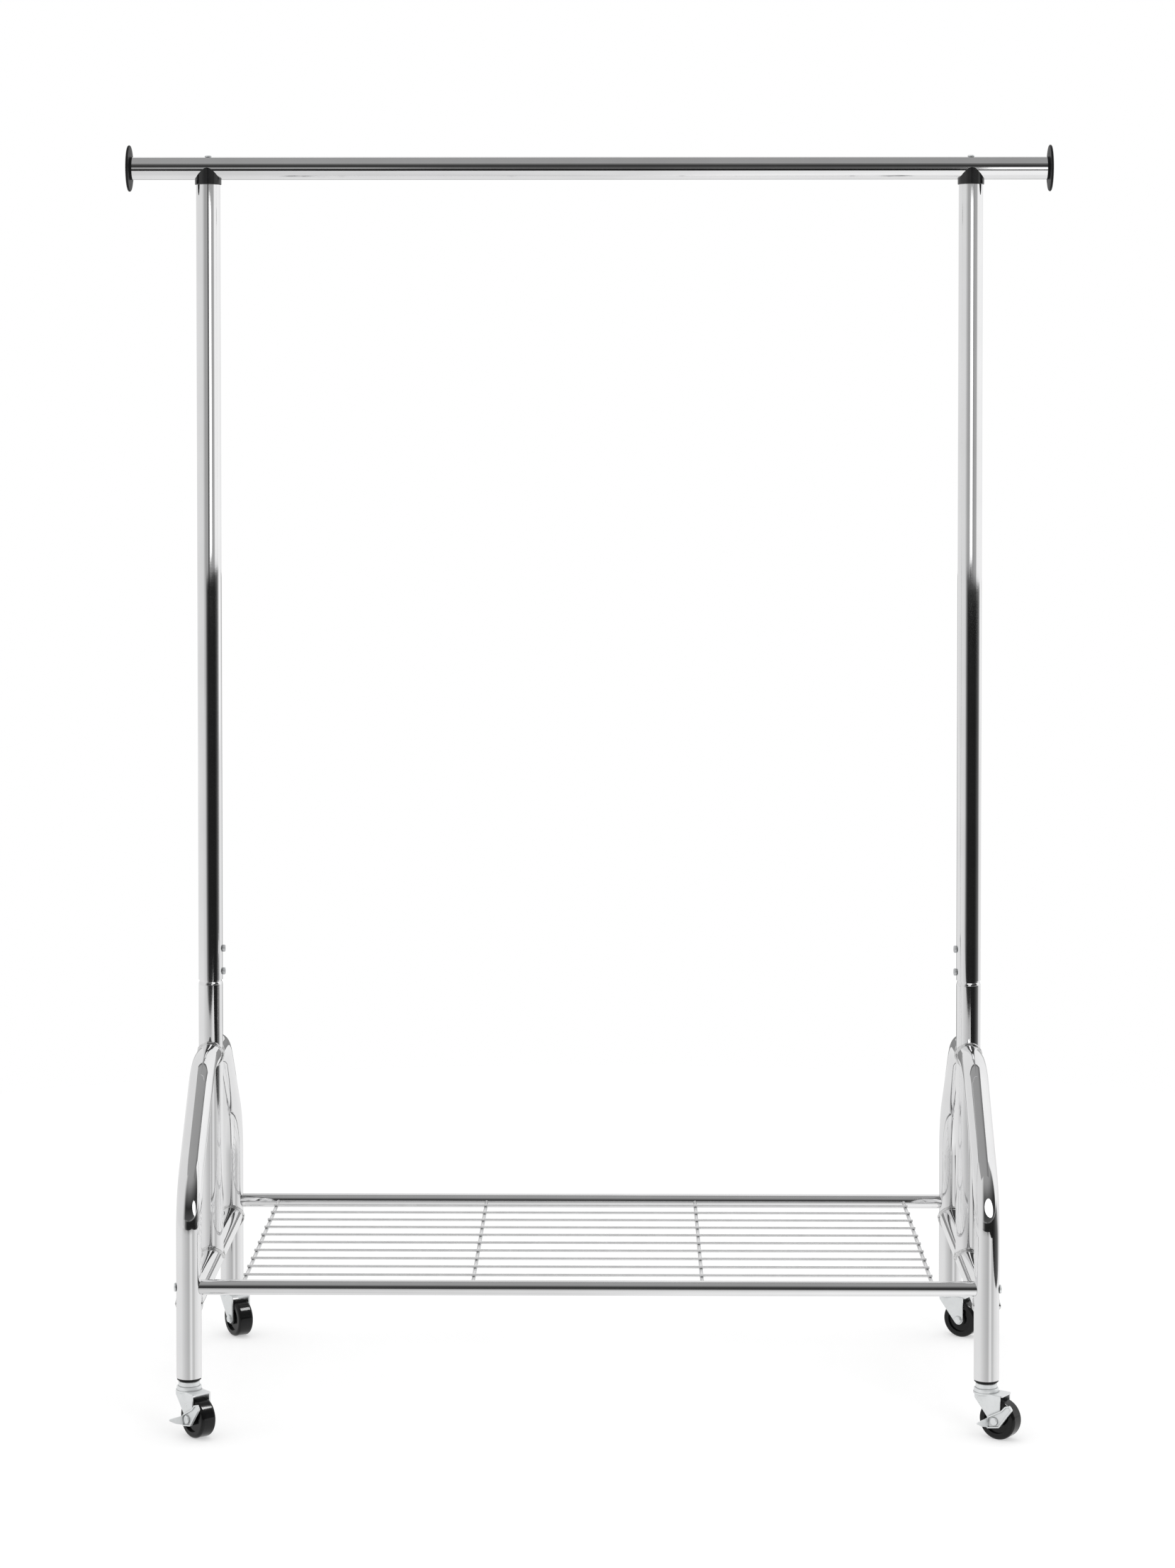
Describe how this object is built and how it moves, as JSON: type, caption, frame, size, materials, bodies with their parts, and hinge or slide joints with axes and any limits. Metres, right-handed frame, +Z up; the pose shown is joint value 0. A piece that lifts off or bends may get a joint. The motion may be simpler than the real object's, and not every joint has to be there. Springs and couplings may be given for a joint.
{
  "type": "rolling clothes rack",
  "caption": "Free-standing clothes rack on swivel casters: chromed tube side frames, a hanging bar with round end caps and a low wire shelf between the legs.",
  "frame": {"origin": "on the floor, midway between the four legs", "axes": "+Z up, +X along the hanging bar to the right as pictured, +Y from the front legs to the rear legs"},
  "size_m": [1.2174, 0.5623, 1.6415],
  "materials": {
    "chrome_tube": "polished chrome plate",
    "shelf_wire": "bright chrome plate",
    "black_plastic": "glossy moulded",
    "socket_plastic": "satin moulded",
    "screw_steel": "plated",
    "caster_zinc": "bright zinc plate",
    "lever_zinc": "bright zinc plate",
    "wheel_black": "satin moulded"
  },
  "bodies": {
    "rack": {"leg_front_left": "chrome_tube", "leg_rear_left": "chrome_tube", "leg_front_right": "chrome_tube", "leg_rear_right": "chrome_tube", "foot_rung_left": "chrome_tube", "lower_post_left": "chrome_tube", "upper_post_left": "chrome_tube", "foot_rung_right": "chrome_tube", "lower_post_right": "chrome_tube", "upper_post_right": "chrome_tube", "hanging_bar": "chrome_tube", "shelf_rail_front": "chrome_tube", "shelf_rail_rear": "chrome_tube", "shelf_cross_wires": "shelf_wire", "shelf_long_wires": "shelf_wire", "bar_saddle_left": "black_plastic", "bar_saddle_right": "black_plastic", "bar_end_cap_left": "black_plastic", "bar_end_cap_right": "black_plastic", "caster_socket_front_left": "socket_plastic", "caster_socket_front_right": "socket_plastic", "caster_socket_rear_left": "socket_plastic", "caster_socket_rear_right": "socket_plastic", "post_screws": "screw_steel", "bar_screws": "screw_steel", "rail_bolts": "screw_steel", "bar_nuts": "screw_steel", "rail_plugs": "screw_steel", "caster_stem_front_left": "caster_zinc", "caster_stem_front_right": "caster_zinc", "caster_stem_rear_left": "caster_zinc", "caster_stem_rear_right": "caster_zinc"},
    "caster_front_left": {"caster_fork_front_left": "caster_zinc", "caster_axle_front_left": "caster_zinc"},
    "wheel_front_left": {"caster_wheel_front_left": "wheel_black"},
    "brake_front_left": {"brake_lever_front_left": "lever_zinc"},
    "caster_front_right": {"caster_fork_front_right": "caster_zinc", "caster_axle_front_right": "caster_zinc"},
    "wheel_front_right": {"caster_wheel_front_right": "wheel_black"},
    "brake_front_right": {"brake_lever_front_right": "lever_zinc"},
    "caster_rear_left": {"caster_fork_rear_left": "caster_zinc", "caster_axle_rear_left": "caster_zinc"},
    "wheel_rear_left": {"caster_wheel_rear_left": "wheel_black"},
    "caster_rear_right": {"caster_fork_rear_right": "caster_zinc", "caster_axle_rear_right": "caster_zinc"},
    "wheel_rear_right": {"caster_wheel_rear_right": "wheel_black"}
  },
  "joints": [
    {"name": "swivel_front_left", "type": "hinge", "parent": "rack", "child": "caster_front_left", "pos_m": [-0.503, -0.25, 0.06], "axis": [0, 0, 1], "continuous": true},
    {"name": "roll_front_left", "type": "hinge", "parent": "caster_front_left", "child": "wheel_front_left", "pos_m": [-0.48988, -0.26509, 0.025], "axis": [0.7547, 0.6561, 0], "continuous": true},
    {"name": "brake_front_left", "type": "hinge", "parent": "caster_front_left", "child": "brake_front_left", "pos_m": [-0.48988, -0.26509, 0.025], "axis": [-0.7547, -0.6561, 0], "range_deg": [0, 20]},
    {"name": "swivel_front_right", "type": "hinge", "parent": "rack", "child": "caster_front_right", "pos_m": [0.503, -0.25, 0.06], "axis": [0, 0, 1], "continuous": true},
    {"name": "roll_front_right", "type": "hinge", "parent": "caster_front_right", "child": "wheel_front_right", "pos_m": [0.51958, -0.26118, 0.025], "axis": [0.5592, 0.829, 0], "continuous": true},
    {"name": "brake_front_right", "type": "hinge", "parent": "caster_front_right", "child": "brake_front_right", "pos_m": [0.51958, -0.26118, 0.025], "axis": [-0.5592, -0.829, 0], "range_deg": [0, 20]},
    {"name": "swivel_rear_left", "type": "hinge", "parent": "rack", "child": "caster_rear_left", "pos_m": [-0.503, 0.25, 0.06], "axis": [0, 0, 1], "continuous": true},
    {"name": "roll_rear_left", "type": "hinge", "parent": "caster_rear_left", "child": "wheel_rear_left", "pos_m": [-0.49211, 0.23323, 0.025], "axis": [0.8387, 0.5446, 0], "continuous": true},
    {"name": "swivel_rear_right", "type": "hinge", "parent": "rack", "child": "caster_rear_right", "pos_m": [0.503, 0.25, 0.06], "axis": [0, 0, 1], "continuous": true},
    {"name": "roll_rear_right", "type": "hinge", "parent": "caster_rear_right", "child": "wheel_rear_right", "pos_m": [0.51977, 0.23911, 0.025], "axis": [0.5446, 0.8387, 0], "continuous": true}
  ]
}
